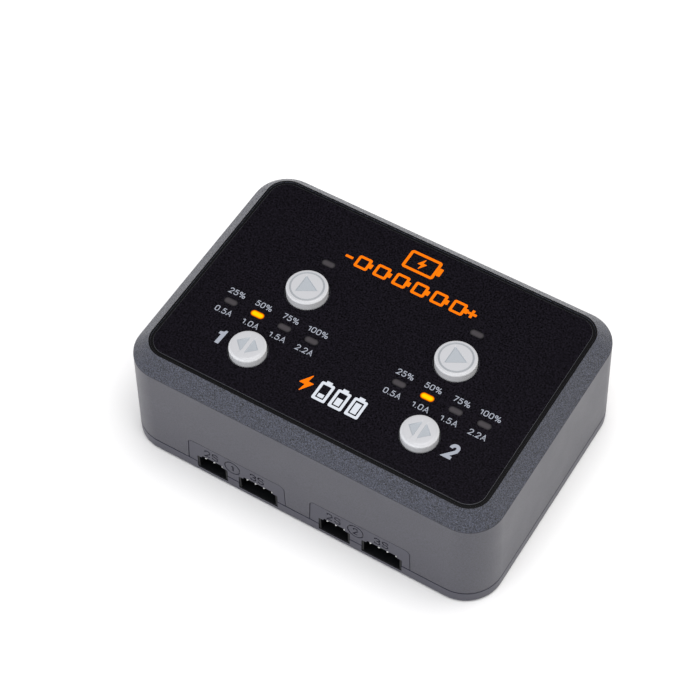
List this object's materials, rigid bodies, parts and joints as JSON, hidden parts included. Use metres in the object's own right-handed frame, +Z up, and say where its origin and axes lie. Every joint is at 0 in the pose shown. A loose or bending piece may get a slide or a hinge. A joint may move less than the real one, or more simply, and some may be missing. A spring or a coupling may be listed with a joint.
{
  "type": "balance battery charger",
  "caption": "Desk-top balance battery charger: rounded rectangular case with a chamfered top, push buttons and lamp windows on its panel, balance ports in front and a mains inlet at the back.",
  "frame": {"origin": "centre of the footprint, on the plane of the rubber feet", "axes": "+Z up, +X along the long side towards channel 2, and the balance ports face -Y"},
  "size_m": [0.1066, 0.075, 0.0386],
  "materials": {
    "case_plastic": "satin dark grey ABS, plain on the walls, coarse spark-eroded grain on the chamfer",
    "film_print": "black printed polycarbonate film, fine matt speckle",
    "foot_rubber": "matt black rubber",
    "button_plastic": "light grey satin moulded caps",
    "screw_steel": "zinc plated",
    "light_guide": "milky clear acrylic",
    "led_amber": "amber lamp",
    "led_clear": "clear lamp",
    "circuit_board": "green solder mask over glass fibre board",
    "component_black": "moulded black epoxy",
    "plunger_plastic": "grey nylon",
    "contact_gold": "gold flashed pins",
    "contact_tin": "tin plated pins",
    "port_plastic": "black glass-filled nylon",
    "sheet_plastic": "translucent polyester sheet",
    "fuse_plastic": "brown moulded case",
    "capacitor_yellow": "yellow boxed film capacitor",
    "ferrite": "sintered ferrite",
    "copper_wire": "enamelled copper",
    "capacitor_sleeve": "shrink sleeve over an aluminium can",
    "heatsink_metal": "plain extruded aluminium",
    "coil_tape": "yellow polyester tape over the winding",
    "opto_plastic": "white moulded package"
  },
  "bodies": {
    "charger_body": {"top_shell": "case_plastic", "base_tray": "case_plastic", "overlay_film": "film_print", "rubber_feet": "foot_rubber", "case_screws": "screw_steel", "level_light_guide_1": "light_guide", "level_light_guide_2": "light_guide", "status_light_guide_1": "light_guide", "status_light_guide_2": "light_guide", "control_board": "circuit_board", "control_board_screws": "screw_steel", "control_chip": "component_black", "level_leds": "led_amber", "status_leds": "led_clear", "start_switch_1": "component_black", "start_switch_2": "component_black", "select_switch_1": "component_black", "select_switch_2": "component_black", "board_link_pins": "contact_gold", "board_link_socket": "component_black", "main_board": "circuit_board", "main_board_screws": "screw_steel", "insulating_sheet": "sheet_plastic", "two_cell_port_1": "port_plastic", "three_cell_port_1": "port_plastic", "two_cell_port_2": "port_plastic", "three_cell_port_2": "port_plastic", "two_cell_pins_1": "contact_tin", "three_cell_pins_1": "contact_tin", "two_cell_pins_2": "contact_tin", "three_cell_pins_2": "contact_tin", "mains_inlet": "port_plastic", "mains_inlet_pins": "contact_tin", "fuse": "fuse_plastic", "line_capacitor": "capacitor_yellow", "choke_core": "ferrite", "choke_windings": "copper_wire", "bridge_rectifier": "component_black", "bulk_capacitor": "capacitor_sleeve", "power_transistor": "component_black", "transistor_heatsink": "heatsink_metal", "transformer_core": "ferrite", "transformer_coil": "coil_tape", "transformer_bobbin": "component_black", "output_diode": "component_black", "diode_heatsink": "heatsink_metal", "output_capacitors": "capacitor_sleeve", "channel_inductors": "ferrite", "channel_chips": "component_black", "balance_resistors": "component_black", "optocoupler": "opto_plastic"},
    "start_cap_1": {"start_button_1": "button_plastic"},
    "start_switch_key_1": {"start_plunger_1": "plunger_plastic"},
    "start_cap_2": {"start_button_2": "button_plastic"},
    "start_switch_key_2": {"start_plunger_2": "plunger_plastic"},
    "select_cap_1": {"select_button_1": "button_plastic"},
    "select_switch_key_1": {"select_plunger_1": "plunger_plastic"},
    "select_cap_2": {"select_button_2": "button_plastic"},
    "select_switch_key_2": {"select_plunger_2": "plunger_plastic"}
  },
  "joints": [
    {"name": "start_press_1", "type": "slide", "parent": "charger_body", "child": "start_cap_1", "axis": [0, 0, -1], "range_m": [0, 0.0003]},
    {"name": "start_switch_press_1", "type": "slide", "parent": "charger_body", "child": "start_switch_key_1", "axis": [0, 0, -1], "range_m": [0, 0.0003]},
    {"name": "start_press_2", "type": "slide", "parent": "charger_body", "child": "start_cap_2", "axis": [0, 0, -1], "range_m": [0, 0.0003]},
    {"name": "start_switch_press_2", "type": "slide", "parent": "charger_body", "child": "start_switch_key_2", "axis": [0, 0, -1], "range_m": [0, 0.0003]},
    {"name": "select_press_1", "type": "slide", "parent": "charger_body", "child": "select_cap_1", "axis": [0, 0, -1], "range_m": [0, 0.0003]},
    {"name": "select_switch_press_1", "type": "slide", "parent": "charger_body", "child": "select_switch_key_1", "axis": [0, 0, -1], "range_m": [0, 0.0003]},
    {"name": "select_press_2", "type": "slide", "parent": "charger_body", "child": "select_cap_2", "axis": [0, 0, -1], "range_m": [0, 0.0003]},
    {"name": "select_switch_press_2", "type": "slide", "parent": "charger_body", "child": "select_switch_key_2", "axis": [0, 0, -1], "range_m": [0, 0.0003]}
  ],
  "couplings": [
    {"joint": "start_switch_press_1", "follows": "start_press_1", "ratio": 1},
    {"joint": "start_switch_press_2", "follows": "start_press_2", "ratio": 1},
    {"joint": "select_switch_press_1", "follows": "select_press_1", "ratio": 1},
    {"joint": "select_switch_press_2", "follows": "select_press_2", "ratio": 1}
  ]
}
